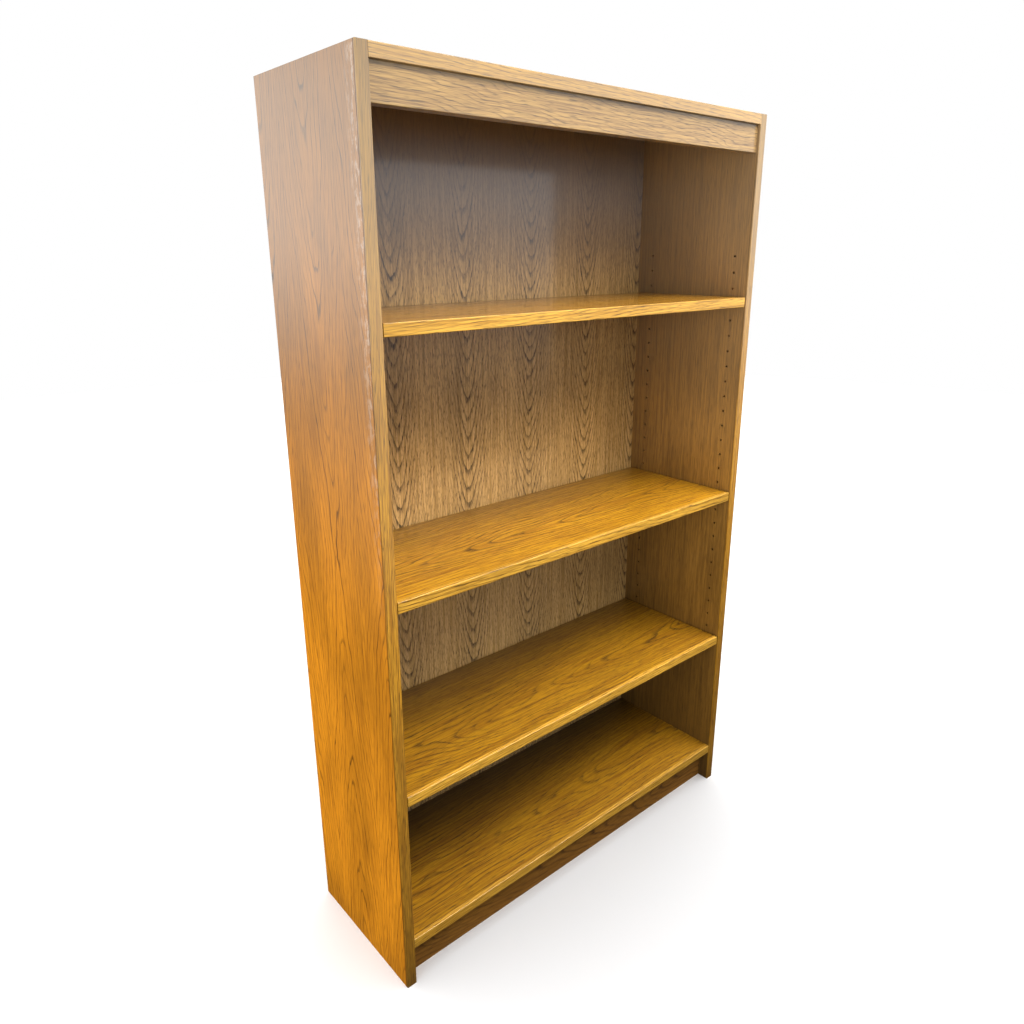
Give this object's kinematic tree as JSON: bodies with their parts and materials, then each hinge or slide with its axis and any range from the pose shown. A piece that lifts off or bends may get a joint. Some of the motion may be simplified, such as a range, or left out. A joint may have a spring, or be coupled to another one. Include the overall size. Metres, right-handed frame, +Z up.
{
  "type": "bookcase",
  "caption": "Free-standing oak-veneered bookcase with a fixed bottom shelf, a header rail, a kick board and loose shelves on angle supports in rows of pin holes.",
  "frame": {"origin": "on the floor, in the middle of the width and of the depth", "axes": "+Z up, +X to the right and +Y to the back, seen from in front"},
  "size_m": [0.9, 0.294, 1.5],
  "materials": {
    "side_veneer": "honey oak veneer, satin lacquer",
    "shelf_veneer": "honey oak veneer, satin lacquer",
    "oak_edging": "solid oak edging, satin lacquer",
    "back_veneer": "thin oak-veneered panel, satin lacquer",
    "plain_wood": "sawn, uncoated",
    "dowel_beech": "turned, uncoated",
    "support_steel": "zinc plated",
    "nail_steel": "bright wire"
  },
  "bodies": {
    "case": {"left_side": "side_veneer", "right_side": "side_veneer", "left_side_lipping": "oak_edging", "right_side_lipping": "oak_edging", "top_board": "side_veneer", "top_board_lipping": "oak_edging", "header_rail": "oak_edging", "bottom_shelf": "shelf_veneer", "bottom_shelf_lipping": "oak_edging", "kick_board": "side_veneer", "base_rail": "plain_wood", "back_panel": "back_veneer", "support_upper_left_front": "support_steel", "support_upper_left_rear": "support_steel", "support_upper_right_front": "support_steel", "support_upper_right_rear": "support_steel", "support_middle_left_front": "support_steel", "support_middle_left_rear": "support_steel", "support_middle_right_front": "support_steel", "support_middle_right_rear": "support_steel", "support_lower_left_front": "support_steel", "support_lower_left_rear": "support_steel", "support_lower_right_front": "support_steel", "support_lower_right_rear": "support_steel", "top_board_dowels": "dowel_beech", "header_rail_dowels": "dowel_beech", "bottom_shelf_dowels": "dowel_beech", "kick_board_dowels": "dowel_beech", "base_rail_dowels": "dowel_beech", "back_panel_side_nails": "nail_steel", "back_panel_board_nails": "nail_steel", "glue_blocks": "plain_wood"},
    "shelf_upper": {"upper_shelf": "shelf_veneer", "upper_shelf_lipping": "oak_edging"},
    "shelf_middle": {"middle_shelf": "shelf_veneer", "middle_shelf_lipping": "oak_edging"},
    "shelf_lower": {"lower_shelf": "shelf_veneer", "lower_shelf_lipping": "oak_edging"}
  },
  "joints": [
    {"name": "upper_shelf_lift", "type": "slide", "parent": "case", "child": "shelf_upper", "axis": [0, 0, 1], "range_m": [0, 0.27]},
    {"name": "middle_shelf_lift", "type": "slide", "parent": "case", "child": "shelf_middle", "axis": [0, 0, 1], "range_m": [0, 0.39]},
    {"name": "lower_shelf_lift", "type": "slide", "parent": "case", "child": "shelf_lower", "axis": [0, 0, 1], "range_m": [0, 0.33]}
  ]
}
